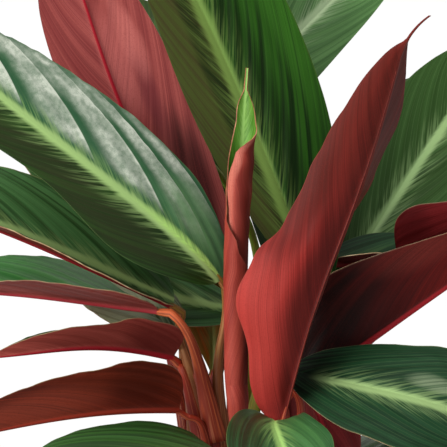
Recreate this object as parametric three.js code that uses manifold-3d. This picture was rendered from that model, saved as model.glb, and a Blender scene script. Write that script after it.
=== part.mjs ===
// A potted stromanthe: long prayer-plant leaves on sheathed red stalks, standing in a nursery pot.
// Millimetres, +Z up, the middle of the pot's flat foot at the origin, the show side towards -Y.
import * as THREE from 'three';
import { mergeVertices } from 'three/addons/utils/BufferGeometryUtils.js';
import Module from 'manifold-3d';

// Pot
const POT_HEIGHT = 150;
const POT_FOOT_RADIUS = 61;
const POT_BODY_TOP_RADIUS = 81;
const POT_RIM_RADIUS = 86;
const POT_RIM_HEIGHT = 20;
const POT_WALL = 2.4;
const POT_FLOOR = 3;
const POT_SIDES = 40;
const DRAIN_HOLES = 6;
const DRAIN_CIRCLE_RADIUS = 38;
const DRAIN_HOLE_RADIUS = 5;

// Soil
const SOIL_TOP = 136;
const SOIL_CROWN = 3;
const FIT_GAP = 0.35;
const PLANTING_DEPTH = 20;

// Blades
const BLADE = 0.8;
const RIB_DEPTH = 2.0;
const RIB_HALF = 1.5;
const BASE_HALF = 1.3;
const TIP_HALF = 0.6;
const BASE_ROUNDNESS = 0.5;
const TIP_ROUNDNESS = 0.72;
const DRIP_TIP = 0.06;
const HOOKED_FROM = 0.9;
const STATIONS = [0, 0.04, 0.14, 0.3, 0.46, 0.62, 0.78, 0.91, 1];
const ACROSS = [0.55, 1];

// Stalks
const STALK_SIDES = 6;
const STALK_STEPS = 5;
const STALK_GAP = 0.5;

const LEAF_GREEN = 0x1f4a2c;
const PALE_GREEN = 0x3f7a3a;
const BURGUNDY = 0x6e2428;
const DARK_BURGUNDY = 0x45171a;

// Every leaf: the four points its midrib passes through from base to tip, the way its upper side
// faces, the half widths (left, right, seen from above with the base near), how steeply each half
// leaves the midrib (rise) and how much it bends on its way to the margin (curl), in degrees.
// A list instead of one number is spread evenly from base to tip.
const LEAVES = [
  { name: 'leaf_left_broad', colour: LEAF_GREEN, shoot: 'left', tip: 0.62,
    rib: [[-1, -21, 331], [-52, -38, 380], [-121, -42, 433], [-183, -37, 490]],
    stalk: [[0, -18, 303], [-3, -17, 281], [1, -15, 236]], stalkRadius: 2.1, stalkFoot: 3,
    face: [0.15, -1, 0.45], half: [[26, 31, 22, 29, 34], [38, 44, 46, 49, 52]], rise: [-6, -12],
    curl: [-10, -12] },
  { name: 'leaf_left_under_broad', colour: LEAF_GREEN, shoot: 'left',
    rib: [[-28, -5, 315], [-90, -13, 344], [-152, -8, 367], [-218, 7, 379]],
    stalk: [[-24, -5, 295], [-18, -9, 278], [-9, -11, 238]], stalkRadius: 2.4, stalkFoot: 4.2,
    face: [0, -0.45, 1], half: [[36, 31, 33, 36], [35, 38, 42, 37]], rise: [[30, 42, 36], 36],
    curl: [-8, -10] },
  { name: 'leaf_left_level', colour: LEAF_GREEN, shoot: 'left',
    rib: [[-36, -24, 315], [-92, -19, 321], [-150, -16, 324], [-208, -10, 314]],
    stalk: [[-19, -27, 300], [-12, -22, 277], [-4, -16, 240]], stalkRadius: 2.2, stalkFoot: 5, tuck: 0,
    face: [0, -0.1, 1], half: [[35, 24, 13, 6], [24, 44, 38, 33, 29]],
    rise: [[30, 34, 34], [2, 26, 32]], curl: [0, -8] },
  { name: 'leaf_left_behind', colour: LEAF_GREEN, shoot: 'back_left',
    rib: [[-27, 8, 298], [-50, 18, 312], [-74, 26, 322], [-98, 32, 328]],
    stalk: [[-22, 6, 276], [-18, 12, 252], [-17, 19, 218]],
    face: [0, -0.6, 1], half: [24, 24], rise: [12, 12], curl: [-14, -14] },
  { name: 'leaf_left_folded', colour: BURGUNDY, shoot: 'left', base: 0.4, lobe: 4,
    rib: [[-28, -6, 286], [-66, -23, 294], [-97, -37, 294], [-135, -41, 290]],
    stalk: [[-22, -9, 277], [-17, -11, 260], [-8, -13, 220]], stalkRadius: 2.6, stalkFoot: 5, tuck: 30,
    face: [0, 0.25, 1], half: [[34, 26, 17, 18, 19, 21], [9, 26]], rise: [[38, 44, 46], 44],
    curl: [-6, -6] },
  { name: 'leaf_left_arching', colour: DARK_BURGUNDY, shoot: 'left', base: 0.42,
    rib: [[-25, -26, 260], [-63, -41, 261], [-108, -47, 255], [-172, -49, 240]],
    stalk: [[-14, -22, 252], [-10, -19, 242], [-7, -15, 216]], stalkRadius: 1.6, stalkFoot: 3.4,
    tuck: 30,
    face: [0, 0.12, 1], half: [[42, 35, 29, 30, 32, 34], [14, 32]], rise: [58, 58], curl: [-4, -4] },
  { name: 'leaf_left_drooping', colour: LEAF_GREEN, shoot: 'left',
    rib: [[-2, -43, 238], [-38, -71, 242], [-87, -92, 233], [-113, -102, 209]],
    stalk: [[-2, -34, 228], [-6, -24, 212], [-8, -15, 190]],
    face: [0, -0.6, 1], half: [[33, 33, 33, 33], [26, 28, 32, 35]], rise: [12, 12], curl: [-14, -14] },
  { name: 'leaf_top_left', colour: BURGUNDY, shoot: 'back',
    rib: [[1, 6, 338], [-45, 24, 396], [-74, 39, 467], [-99, 49, 538]],
    stalk: [[3, 8, 305], [5, 11, 270], [6, 12, 222]],
    face: [0, 1, 0.1], half: [[35, 42], [30, 30, 52]], rise: [12, 6], curl: [-14, -8] },
  { name: 'leaf_top_middle', colour: LEAF_GREEN, shoot: 'back', base: 0.6,
    rib: [[55, -2, 321], [15, 24, 418], [-28, 44, 508], [-87, 53, 600]],
    stalk: [[31, 3, 298], [19, 3, 262], [9, 9, 222]], stalkRadius: 2.6, stalkFoot: 3.4,
    face: [0, -1, 0.1], half: [[26, 30, 28, 26], [42, 45, 48, 50]], rise: [12, 12], curl: [-14, -14] },
  { name: 'leaf_rolled', colour: BURGUNDY, shoot: 'middle', tip: 0.95, columns: 11,
    rib: [[8, -34, 244], [7, -26, 315], [9, -21, 384], [13, -25, 448]],
    stalk: [[9, -34, 228], [11, -31, 212], [11, -26, 190]],
    face: [0, -1, 0],
    half: [[30, 34, 34, 32, 32, 31, 24.4, 17.6, 17.5, 19, 17, 30, 30],
      [38, 34, 25.6, 22.5, 23.2, 25, 27.4, 33.4, 43.5, 48, 36, 37, 37]],
    rise: [0, 0],
    curl: [[290, 290, 290, 290, 285, 250, 180, 115, 95, 85, 70, 50, 30], [235, 235, 235, 240, 245,
    250, 258, 265, 262, 213, 90, 50, 30]] },
  { name: 'leaf_unfurling', colour: BURGUNDY, shoot: 'middle', tip: 0.8, columns: 4,
    rib: [[32, -49, 255], [54, -62, 335], [76, -58, 394], [101, -72, 489]],
    stalk: [[24, -44, 238], [17, -36, 220], [12, -27, 192]], hook: [8, 0, -11],
    face: [0, 1, 0], half: [[30, 32, 32, 32, 34, 46, 36], [44, 38, 48, 43, 34, 34, 38, 43, 51, 59]],
    rise: [[150, 140, 115, 86, 74, 61, 50], [-28, -34, -36, -32, -26, -20, -14]],
    curl: [0, [60, 72, 76, 68, 54, 40, 30]] },
  { name: 'leaf_right_upright', colour: LEAF_GREEN, shoot: 'back_right',
    rib: [[64, 21, 318], [96, 44, 367], [129, 63, 417], [162, 73, 470]],
    stalk: [[60, 22, 292], [48, 22, 258], [38, 21, 218]],
    face: [0, -1, 0.2], half: [[30, 37, 46], [35, 35, 35]], rise: [12, 12], curl: [-14, -14] },
  { name: 'leaf_right_folded', colour: DARK_BURGUNDY, shoot: 'right', base: 0.4,
    rib: [[38, -10, 266], [82, -16, 297], [135, -20, 335], [180, -18, 362]],
    stalk: [[35, -9, 250], [33, -8, 235], [31, -7, 210]],
    face: [[0, 1, 0.5], [0, 0.7, 1], [0, 0.5, 1]], half: [[17, 29, 41], [51, 44, 37, 31]],
    rise: [40, 40], curl: [-6, -6] },
  { name: 'leaf_right_high', colour: DARK_BURGUNDY, shoot: 'back_right', base: 0.36, lobe: 2,
    rib: [[97, 0, 343], [130, -3, 347], [158, 2, 350], [190, 7, 345]],
    stalk: [[84, 2, 322], [66, 14, 285], [42, 20, 230]],
    face: [0, 0.5, 1], half: [8, [37, 31, 25, 20]], rise: [40, 40], curl: [-6, -6] },
  { name: 'leaf_right_behind', colour: LEAF_GREEN, shoot: 'back_right',
    rib: [[60, 11, 337], [90, 18, 336], [121, 26, 336], [156, 36, 331]],
    stalk: [[51, 15, 318], [44, 18, 280], [38, 20, 226]],
    face: [0, 0, 1], half: [[19, 19, 18, 16], [14, 13, 11, 5, 4, 4]], rise: [60, 38], curl: [-6, -6] },
  { name: 'leaf_right_spreading', colour: LEAF_GREEN, shoot: 'right',
    rib: [[37, -31, 282], [84, -57, 276], [119, -72, 269], [166, -77, 253]],
    stalk: [[43, -27, 258], [37, -19, 238], [31, -9, 210]],
    face: [0, -1.1, 1], half: [[28, 30, 40, 46], [28, 33, 41, 46]], rise: [12, 12], curl: [-14, -14] },
  { name: 'leaf_front', colour: PALE_GREEN, shoot: 'middle', base: 0.42, lobe: 26,
    rib: [[28, -68, 261], [29, -99, 257], [35, -128, 240], [34, -146, 209]],
    stalk: [[25, -54, 240], [18, -42, 222], [12, -28, 195]], tuck: 45,
    face: [0, -0.7, 1], half: [[20, 28, 34], [24, 29, 34]], rise: [10, 10], curl: [-14, -14] },
  { name: 'leaf_top_right', colour: LEAF_GREEN, shoot: 'back',
    rib: [[-11, 55, 403], [37, 76, 457], [88, 92, 507], [135, 102, 565]],
    stalk: [[17, 44, 347], [19, 32, 294], [8, 13, 222]],
    face: [0, -1, 0.15], half: [[30, 30], [32, 25, 24]], rise: [12, 12], curl: [-14, -14] },
  { name: 'leaf_hanging', colour: BURGUNDY, shoot: 'right',
    rib: [[41, 9, 274], [53, 5, 254], [61, 0, 226], [65, -3, 188]],
    stalk: [[33, 8, 276], [30, 3, 254], [31, -6, 222]],
    face: [0, 1, 0.1], half: [21, 21], rise: [12, 12], curl: [-14, -14] },
  { name: 'leaf_behind_rolled', colour: LEAF_GREEN, shoot: 'back_left',
    rib: [[8, 27, 305], [-26, 38, 310], [-60, 48, 318], [-94, 54, 330]],
    stalk: [[2, 22, 286], [-8, 20, 255], [-16, 21, 218]], stalkRadius: 2.4, stalkFoot: 4.4,
    face: [0, -0.9, 1], half: [18, 18], rise: [12, 50], curl: [-14, -14] },
  { name: 'leaf_back_high', colour: LEAF_GREEN, shoot: 'back_left', base: 1.2,
    rib: [[-7, 36, 268], [-14, 58, 345], [-38, 108, 430], [-62, 170, 490]],
    stalk: [[-8, 32, 250], [-12, 27, 236], [-17, 22, 205]],
    face: [0, -1, 0.6], half: [[50, 36, 34], 34], rise: [16, 12], curl: [-16, -14] },
  { name: 'leaf_back_left', colour: LEAF_GREEN, shoot: 'back_left',
    rib: [[-42, 66, 324], [-80, 98, 376], [-117, 134, 418], [-152, 172, 440]],
    stalk: [[-35, 56, 294], [-26, 38, 258], [-18, 22, 212]],
    face: [0.2, -0.7, 1], half: [34, 34], rise: [14, 18], curl: [-16, -18] },
  { name: 'leaf_back_middle', colour: LEAF_GREEN, shoot: 'back_right',
    rib: [[34, 56, 318], [32, 104, 372], [34, 158, 404], [38, 216, 408]],
    stalk: [[33, 48, 290], [34, 36, 255], [36, 22, 212]],
    face: [0, -0.4, 1], half: [[14, 26, 34], 30], rise: [16, 16], curl: [-18, -18] },
  { name: 'leaf_back_right', colour: LEAF_GREEN, shoot: 'back_right',
    rib: [[58, 68, 342], [92, 106, 388], [126, 144, 420], [158, 182, 436]],
    stalk: [[50, 52, 305], [44, 36, 262], [38, 23, 212]],
    face: [-0.2, -0.8, 1], half: [33, 33], rise: [16, 14], curl: [-16, -16] },
  { name: 'leaf_back_low_left', colour: LEAF_GREEN, shoot: 'back_left',
    rib: [[-28, 58, 204], [-52, 104, 206], [-78, 152, 186], [-102, 194, 148]],
    stalk: [[-25, 48, 194], [-22, 36, 184], [-19, 24, 170]],
    face: [0, 0.2, 1], half: [34, 34], rise: [20, 20], curl: [-22, -22] },
  { name: 'leaf_back_low_right', colour: LEAF_GREEN, shoot: 'back_right',
    rib: [[52, 56, 212], [76, 100, 218], [104, 146, 200], [128, 188, 160]],
    stalk: [[48, 46, 200], [43, 34, 188], [38, 24, 172]],
    face: [0, 0.2, 1], half: [34, 34], rise: [20, 20], curl: [-22, -22] },
  { name: 'leaf_low_left', colour: LEAF_GREEN, shoot: 'left',
    rib: [[-44, 4, 198], [-92, 14, 208], [-142, 22, 192], [-186, 26, 152]],
    stalk: [[-34, 0, 188], [-22, -6, 178], [-12, -11, 164]],
    face: [0, -0.2, 1], half: [33, 33], rise: [20, 20], curl: [-22, -22] },
  { name: 'leaf_low_right', colour: LEAF_GREEN, shoot: 'right',
    rib: [[66, 16, 208], [112, 24, 224], [160, 28, 214], [204, 28, 178]],
    stalk: [[56, 10, 198], [44, 2, 187], [32, -4, 168]],
    face: [0, -0.2, 1], half: [33, [22, 33, 33]], rise: [20, 20], curl: [-22, -22] },
  { name: 'leaf_low_front', colour: LEAF_GREEN, shoot: 'middle',
    rib: [[-8, -58, 196], [-26, -98, 202], [-46, -136, 186], [-66, -166, 150]],
    stalk: [[-3, -47, 184], [4, -34, 174], [9, -22, 160]],
    face: [0, -0.3, 1], half: [31, 31], rise: [18, 18], curl: [-20, -20] },
];

// Every shoot: where it stands in the soil and the sheath its stalks part from.
const SHOOTS = [
  { name: 'left', at: [-10, -8], radius: 7.5,
    sheath: [[-10, -8, 140], [-6, -11, 190], [-4, -13, 232], [-13, -16, 278]], top: 4.3 },
  { name: 'middle', at: [10, -16], radius: 7,
    sheath: [[10, -16, 140], [10, -19, 162], [11, -24, 184], [13, -30, 206]], top: 5 },
  { name: 'right', at: [28, -4], radius: 6.5,
    sheath: [[28, -4, 140], [29, -5, 165], [31, -7, 190], [33, -9, 218]], top: 4.5 },
  { name: 'back', at: [7, 11], radius: 5.5,
    sheath: [[7, 11, 140], [7, 11, 170], [7, 11, 200], [7, 10, 232]], top: 4 },
  { name: 'back_left', at: [-18, 19], radius: 7.5,
    sheath: [[-18, 19, 140], [-18, 20, 168], [-17, 21, 196], [-17, 22, 226]], top: 5 },
  { name: 'back_right', at: [36, 21], radius: 7.5,
    sheath: [[36, 21, 140], [36, 21, 168], [37, 22, 196], [37, 22, 226]], top: 5 },
];


const wasm = await Module();
wasm.setup();

// ---- small helpers ----

// The value at u (0 base to 1 tip) of one number, or of a list spread evenly along the leaf.
function along(values, u) {
  if (!Array.isArray(values)) {
    return values;
  }
  const place = Math.min(Math.max(u, 0), 1) * (values.length - 1);
  const first = Math.min(Math.floor(place), values.length - 2);
  const share = (1 - Math.cos(Math.PI * (place - first))) / 2;
  return values[first] * (1 - share) + values[first + 1] * share;
}

function vector(values) {
  return new THREE.Vector3(values[0], values[1], values[2]);
}

// The smooth curve through four points spread evenly along it.
function curveThrough(points) {
  const [a, b, c, d] = points.map(vector);
  const p = new THREE.Vector3();
  p.addScaledVector(a, -5 / 6).addScaledVector(b, 3).addScaledVector(c, -1.5);
  p.addScaledVector(d, 1 / 3);
  const q = new THREE.Vector3();
  q.addScaledVector(a, 1 / 3).addScaledVector(b, -1.5).addScaledVector(c, 3);
  q.addScaledVector(d, -5 / 6);
  return new THREE.CubicBezierCurve3(a, p, q, d);
}

// Direction of a Bezier curve, from its own control points.
function heading(curve, u) {
  const v = 1 - u;
  const t = new THREE.Vector3();
  t.addScaledVector(curve.v1.clone().sub(curve.v0), 3 * v * v);
  t.addScaledVector(curve.v2.clone().sub(curve.v1), 6 * u * v);
  t.addScaledVector(curve.v3.clone().sub(curve.v2), 3 * u * u);
  return t.normalize();
}

function meshOf(name, geometry, colour, roughness) {
  const look = new THREE.MeshStandardMaterial({ color: colour, roughness, metalness: 0 });
  const mesh = new THREE.Mesh(geometry, look);
  mesh.name = name;
  return mesh;
}

function geometryOf(points, triangles) {
  const geometry = new THREE.BufferGeometry();
  const flat = points.flatMap((p) => [p.x, p.y, p.z]);
  geometry.setAttribute('position', new THREE.Float32BufferAttribute(flat, 3));
  geometry.setIndex(triangles.flat());
  return geometry;
}

function solidOf(points, triangles) {
  return new wasm.Manifold(new wasm.Mesh({
    numProp: 3,
    vertProperties: new Float32Array(points.flatMap((p) => [p.x, p.y, p.z])),
    triVerts: new Uint32Array(triangles.flat()),
  }));
}

function geometryOfSolid(solid) {
  const mesh = solid.getMesh();
  const geometry = new THREE.BufferGeometry();
  const places = new Float32Array(mesh.numVert * 3);
  for (let i = 0; i < mesh.numVert; i += 1) {
    for (let k = 0; k < 3; k += 1) {
      places[3 * i + k] = mesh.vertProperties[mesh.numProp * i + k];
    }
  }
  geometry.setAttribute('position', new THREE.BufferAttribute(places, 3));
  geometry.setIndex(Array.from(mesh.triVerts));
  return geometry;
}

// A three.js geometry as a solid that can be joined and cut.
function solidFrom(geometry) {
  geometry.deleteAttribute('normal');
  geometry.deleteAttribute('uv');
  const merged = mergeVertices(geometry, 0.001);
  return new wasm.Manifold(new wasm.Mesh({
    numProp: 3,
    vertProperties: merged.attributes.position.array,
    triVerts: new Uint32Array(merged.index.array),
  }));
}

// A solid turned about an upright axis: the profile runs from the axis to the axis.
function turnedSolid(profile, sides) {
  const line = profile.map(([radius, z]) => new THREE.Vector2(radius, z));
  return solidFrom(new THREE.LatheGeometry(line, sides).rotateX(Math.PI / 2));
}

// An upright round bar from one height to another.
function barSolid(x, y, radius, low, high) {
  const bar = new THREE.CylinderGeometry(radius, radius, high - low, 12);
  return solidFrom(bar.rotateX(Math.PI / 2).translate(x, y, (low + high) / 2));
}

// A round stalk along a list of centres, with its own radius at each.
function stalkSolid(centres, radii, sides = STALK_SIDES) {
  const points = [];
  const triangles = [];
  let across = new THREE.Vector3(0, 1, 0);
  centres.forEach((centre, i) => {
    const before = centres[Math.max(i - 1, 0)];
    const after = centres[Math.min(i + 1, centres.length - 1)];
    const ahead = after.clone().sub(before).normalize();
    across = across.clone().addScaledVector(ahead, -across.dot(ahead)).normalize();
    const other = new THREE.Vector3().crossVectors(ahead, across);
    for (let k = 0; k < sides; k += 1) {
      const angle = (2 * Math.PI * k) / sides;
      const point = centre.clone();
      point.addScaledVector(across, radii[i] * Math.cos(angle));
      point.addScaledVector(other, radii[i] * Math.sin(angle));
      points.push(point);
    }
  });
  const last = (centres.length - 1) * sides;
  points.push(centres[0].clone(), centres[centres.length - 1].clone());
  for (let k = 0; k < sides; k += 1) {
    const next = (k + 1) % sides;
    for (let i = 0; i < last; i += sides) {
      triangles.push([i + k, i + next, i + sides + next]);
      triangles.push([i + k, i + sides + next, i + sides + k]);
    }
    triangles.push([points.length - 2, next, k]);
    triangles.push([points.length - 1, last + k, last + next]);
  }
  return solidOf(points, triangles);
}

// ---- leaves ----

// Half-width share of a leaf at u: round base, long point, then the thin drip tip.
function outline(u, base, tip) {
  const e = Math.min(u / (1 - DRIP_TIP), 1);
  const widest = base / (base + tip);
  const most = widest ** base * (1 - widest) ** tip;
  return (e ** base * (1 - e) ** tip) / most;
}

// Midrib point and the three directions there: ahead, across to the right, and out of the face.
function leafFrame(leaf, curve, u) {
  const hooked = Math.max(0, (u - HOOKED_FROM) / (1 - HOOKED_FROM)) ** 2;
  const at = curve.getPoint(u).addScaledVector(vector(leaf.hook ?? [0, 0, 0]), hooked);
  const ahead = heading(curve, u);
  const faces = Array.isArray(leaf.face[0]) ? leaf.face : [leaf.face, leaf.face];
  const out = vector([0, 1, 2].map((k) => along(faces.map((f) => f[k]), u)));
  out.addScaledVector(ahead, -out.dot(ahead)).normalize();
  const right = new THREE.Vector3().crossVectors(ahead, out);
  return { at, ahead, out, right };
}

// One point of the upper face, and the direction out of it; a is 0 at the midrib, 1 at the margin.
function leafPoint(leaf, frame, u, side, a, half) {
  const which = side < 0 ? 0 : 1;
  const rise = THREE.MathUtils.degToRad(along(leaf.rise[which], u));
  const given = THREE.MathUtils.degToRad(along(leaf.curl[which], u));
  const curl = Math.abs(given) < 0.001 ? 0.001 : given;
  const slope = rise + curl * a;
  const reach = (half / curl) * (Math.sin(slope) - Math.sin(rise));
  const lift = (-half / curl) * (Math.cos(slope) - Math.cos(rise));
  const sweep = (leaf.lobe ?? 0) * a * a * (u / 0.06) * Math.exp(1 - u / 0.06);
  const point = frame.at.clone();
  point.addScaledVector(frame.right, side * reach);
  point.addScaledVector(frame.out, lift);
  point.addScaledVector(frame.ahead, -sweep);
  const normal = frame.right.clone().multiplyScalar(-side * Math.sin(slope));
  normal.addScaledVector(frame.out, Math.cos(slope));
  return { point, normal };
}

// The blade as a closed solid: upper face, under face with the midrib standing out of it, and edge.
function leafGeometry(leaf) {
  const curve = curveThrough(leaf.rib);
  const steps = leaf.columns ?? ACROSS.length;
  const shares = leaf.columns
    ? Array.from({ length: steps }, (_, k) => (k + 1) / steps)
    : ACROSS;
  const columns = 2 * (steps + 1) + 1;
  const upper = [];
  const under = [];
  for (const u of STATIONS) {
    const frame = leafFrame(leaf, curve, u);
    const share = outline(u, leaf.base ?? BASE_ROUNDNESS, leaf.tip ?? TIP_ROUNDNESS);
    const least = BASE_HALF * (1 - u) + TIP_HALF * u;
    const halves = [0, 1].map((k) => Math.max(along(leaf.half[k], u) * share, least));
    for (let j = 0; j < columns; j += 1) {
      const place = j - (steps + 1);
      const side = place < 0 ? -1 : 1;
      const half = halves[side < 0 ? 0 : 1];
      const besideRib = Math.min(RIB_HALF / half, 0.6 * shares[0]);
      const a = place === 0 ? 0 : [besideRib, ...shares][Math.abs(place) - 1];
      const { point, normal } = leafPoint(leaf, frame, u, side, a, half);
      const depth = place === 0 ? BLADE + RIB_DEPTH * (1 - u) ** 0.7 : BLADE;
      upper.push(point);
      under.push(point.clone().addScaledVector(place === 0 ? frame.out : normal, -depth));
    }
  }
  const points = [...upper, ...under];
  const drop = upper.length;
  const triangles = [];
  const rows = STATIONS.length;
  for (let i = 0; i + 1 < rows; i += 1) {
    for (let j = 0; j + 1 < columns; j += 1) {
      const a = i * columns + j;
      const b = a + 1;
      const c = a + columns;
      const d = c + 1;
      const corners = j < steps + 1 ? [[a, b, c], [b, d, c]] : [[a, b, d], [a, d, c]];
      for (const [p, q, r] of corners) {
        triangles.push([p, q, r]);
        triangles.push([p + drop, r + drop, q + drop]);
      }
    }
  }
  const border = [];
  for (let j = 0; j + 1 < columns; j += 1) {
    border.push([j, j + 1]);
    border.push([(rows - 1) * columns + j + 1, (rows - 1) * columns + j]);
  }
  for (let i = 0; i + 1 < rows; i += 1) {
    border.push([(i + 1) * columns, i * columns]);
    border.push([i * columns + columns - 1, (i + 1) * columns + columns - 1]);
  }
  for (const [p, q] of border) {
    triangles.push([p, p + drop, q + drop]);
    triangles.push([p, q + drop, q]);
  }
  return geometryOf(points, triangles);
}

// ---- stalks ----

// The leaf stalk: a short swollen neck in line with the midrib, then the bend into its sheath.
function leafStalk(leaf) {
  const curve = curveThrough(leaf.rib);
  const ahead = heading(curve, 0);
  const frame = leafFrame(leaf, curve, 0);
  const base = curve.getPoint(0).addScaledVector(frame.out, -BLADE - 0.4 * RIB_DEPTH);
  const radius = leaf.stalkRadius ?? 2.1;
  const foot = leaf.stalkFoot ?? 1.9 * radius;
  const tuck = THREE.MathUtils.degToRad(leaf.tuck ?? 12);
  const down = ahead.clone().multiplyScalar(-Math.cos(tuck));
  down.addScaledVector(frame.out, -Math.sin(tuck));
  const top = base.clone().addScaledVector(down, STALK_GAP + radius * Math.sin(tuck));
  const neck = base.clone().addScaledVector(down, 7);
  const bend = curveThrough([neck.toArray(), ...leaf.stalk]);
  const centres = [top];
  const radii = [radius];
  for (let i = 0; i <= STALK_STEPS; i += 1) {
    const u = i / STALK_STEPS;
    centres.push(bend.getPoint(u));
    radii.push(1.1 * radius * (1 - u * u) + foot * u * u);
  }
  return stalkSolid(centres, radii);
}

// A shoot: an upright foot in the soil, the sheath, and every leaf stalk that parts from it.
function shootGeometry(shoot) {
  const [x, y] = shoot.at;
  const foot = SOIL_TOP - PLANTING_DEPTH + FIT_GAP;
  let solid = barSolid(x, y, shoot.radius, foot, 146);
  const curve = curveThrough(shoot.sheath);
  const centres = [];
  const radii = [];
  for (let i = 0; i <= STALK_STEPS; i += 1) {
    const u = i / STALK_STEPS;
    centres.push(curve.getPoint(u));
    radii.push(shoot.radius * 0.97 * (1 - u) + shoot.top * u);
  }
  solid = solid.add(stalkSolid(centres, radii, 10));
  for (const leaf of LEAVES) {
    if (leaf.shoot === shoot.name) {
      solid = solid.add(leafStalk(leaf));
    }
  }
  return geometryOfSolid(solid);
}

// ---- pot and soil ----

function potInside(z) {
  const share = (z - POT_FLOOR) / (POT_HEIGHT - POT_RIM_HEIGHT - POT_FLOOR);
  return (POT_FOOT_RADIUS - POT_WALL) * (1 - share) + (POT_BODY_TOP_RADIUS - POT_WALL) * share;
}

function potGeometry() {
  const rimFoot = POT_HEIGHT - POT_RIM_HEIGHT;
  let pot = turnedSolid([
    [0, 0], [POT_FOOT_RADIUS - 1, 0], [POT_FOOT_RADIUS, 1.5], [POT_BODY_TOP_RADIUS, rimFoot],
    [POT_RIM_RADIUS - 1.5, rimFoot + 1.5], [POT_RIM_RADIUS, POT_HEIGHT - 2],
    [POT_RIM_RADIUS - 1, POT_HEIGHT], [POT_RIM_RADIUS - POT_WALL - 1, POT_HEIGHT],
    [POT_RIM_RADIUS - POT_WALL - 2, rimFoot + 4], [potInside(rimFoot), rimFoot],
    [potInside(POT_FLOOR), POT_FLOOR], [0, POT_FLOOR],
  ], POT_SIDES);
  for (let k = 0; k < DRAIN_HOLES; k += 1) {
    const angle = (2 * Math.PI * (k + 0.5)) / DRAIN_HOLES;
    const x = DRAIN_CIRCLE_RADIUS * Math.cos(angle);
    const y = DRAIN_CIRCLE_RADIUS * Math.sin(angle);
    pot = pot.subtract(barSolid(x, y, DRAIN_HOLE_RADIUS, -1, POT_FLOOR + 1));
  }
  return geometryOfSolid(pot);
}

function soilGeometry() {
  const low = POT_FLOOR + FIT_GAP;
  const shoulder = POT_HEIGHT - POT_RIM_HEIGHT;
  const outer = (z) => potInside(z) - FIT_GAP;
  let soil = turnedSolid([
    [0, low], [outer(low), low], [outer(shoulder), shoulder],
    [outer(shoulder) - 0.5, SOIL_TOP - SOIL_CROWN], [45, SOIL_TOP - 0.5], [0, SOIL_TOP],
  ], POT_SIDES);
  for (const shoot of SHOOTS) {
    const radius = shoot.radius + FIT_GAP;
    const bottom = SOIL_TOP - PLANTING_DEPTH;
    soil = soil.subtract(barSolid(shoot.at[0], shoot.at[1], radius, bottom, SOIL_TOP + 5));
  }
  return geometryOfSolid(soil);
}

// ---- the plant ----

const plant = new THREE.Group();
plant.name = 'potted_stromanthe';
plant.add(meshOf('pot', potGeometry(), 0x2b2724, 0.55));
plant.add(meshOf('soil', soilGeometry(), 0x3a2b20, 0.95));
for (const shoot of SHOOTS) {
  plant.add(meshOf(`stalks_${shoot.name}`, shootGeometry(shoot), 0x9c3f30, 0.45));
}
for (const leaf of LEAVES) {
  plant.add(meshOf(leaf.name, leafGeometry(leaf), leaf.colour, 0.4));
}

export default plant;
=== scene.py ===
import math
import random

import bpy
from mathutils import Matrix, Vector, noise


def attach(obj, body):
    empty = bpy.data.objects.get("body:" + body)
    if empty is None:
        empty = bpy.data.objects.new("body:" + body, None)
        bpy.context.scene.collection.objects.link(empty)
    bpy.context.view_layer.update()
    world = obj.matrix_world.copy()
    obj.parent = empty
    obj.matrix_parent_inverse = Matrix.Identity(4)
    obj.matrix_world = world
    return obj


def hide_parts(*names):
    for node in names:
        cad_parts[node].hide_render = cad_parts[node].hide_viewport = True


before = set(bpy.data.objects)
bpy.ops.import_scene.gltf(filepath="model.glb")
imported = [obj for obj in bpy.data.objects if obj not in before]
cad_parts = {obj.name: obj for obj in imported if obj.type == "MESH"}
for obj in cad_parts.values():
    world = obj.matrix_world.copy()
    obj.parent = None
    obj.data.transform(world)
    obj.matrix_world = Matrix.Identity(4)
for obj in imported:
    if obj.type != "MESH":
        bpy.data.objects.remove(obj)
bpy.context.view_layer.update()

# A potted stromanthe. Lengths are in millimetres until a mesh is made; +Z is up, the middle of the
# pot's foot is the origin and the show side looks towards -Y.
MM = 0.001

# ---- the plant's named values, as in its solids ----

POT_HEIGHT = 150
POT_FOOT_RADIUS = 61
POT_BODY_TOP_RADIUS = 81
POT_RIM_RADIUS = 86
POT_RIM_HEIGHT = 20
POT_WALL = 2.4
POT_FLOOR = 3
DRAIN_HOLES = 6
DRAIN_CIRCLE_RADIUS = 38
DRAIN_HOLE_RADIUS = 5
SOIL_TOP = 136
SOIL_CROWN = 3
FIT_GAP = 0.35
PLANTING_DEPTH = 20
BLADE = 0.8
RIB_DEPTH = 2.0
BASE_HALF = 1.3
TIP_HALF = 0.6
BASE_ROUNDNESS = 0.5
TIP_ROUNDNESS = 0.72
DRIP_TIP = 0.06
HOOKED_FROM = 0.9
LOBE_AT = 0.06
USUAL_RISE = (12, 12)
USUAL_CURL = (-14, -14)
STALK_RADIUS = 2.1

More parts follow.
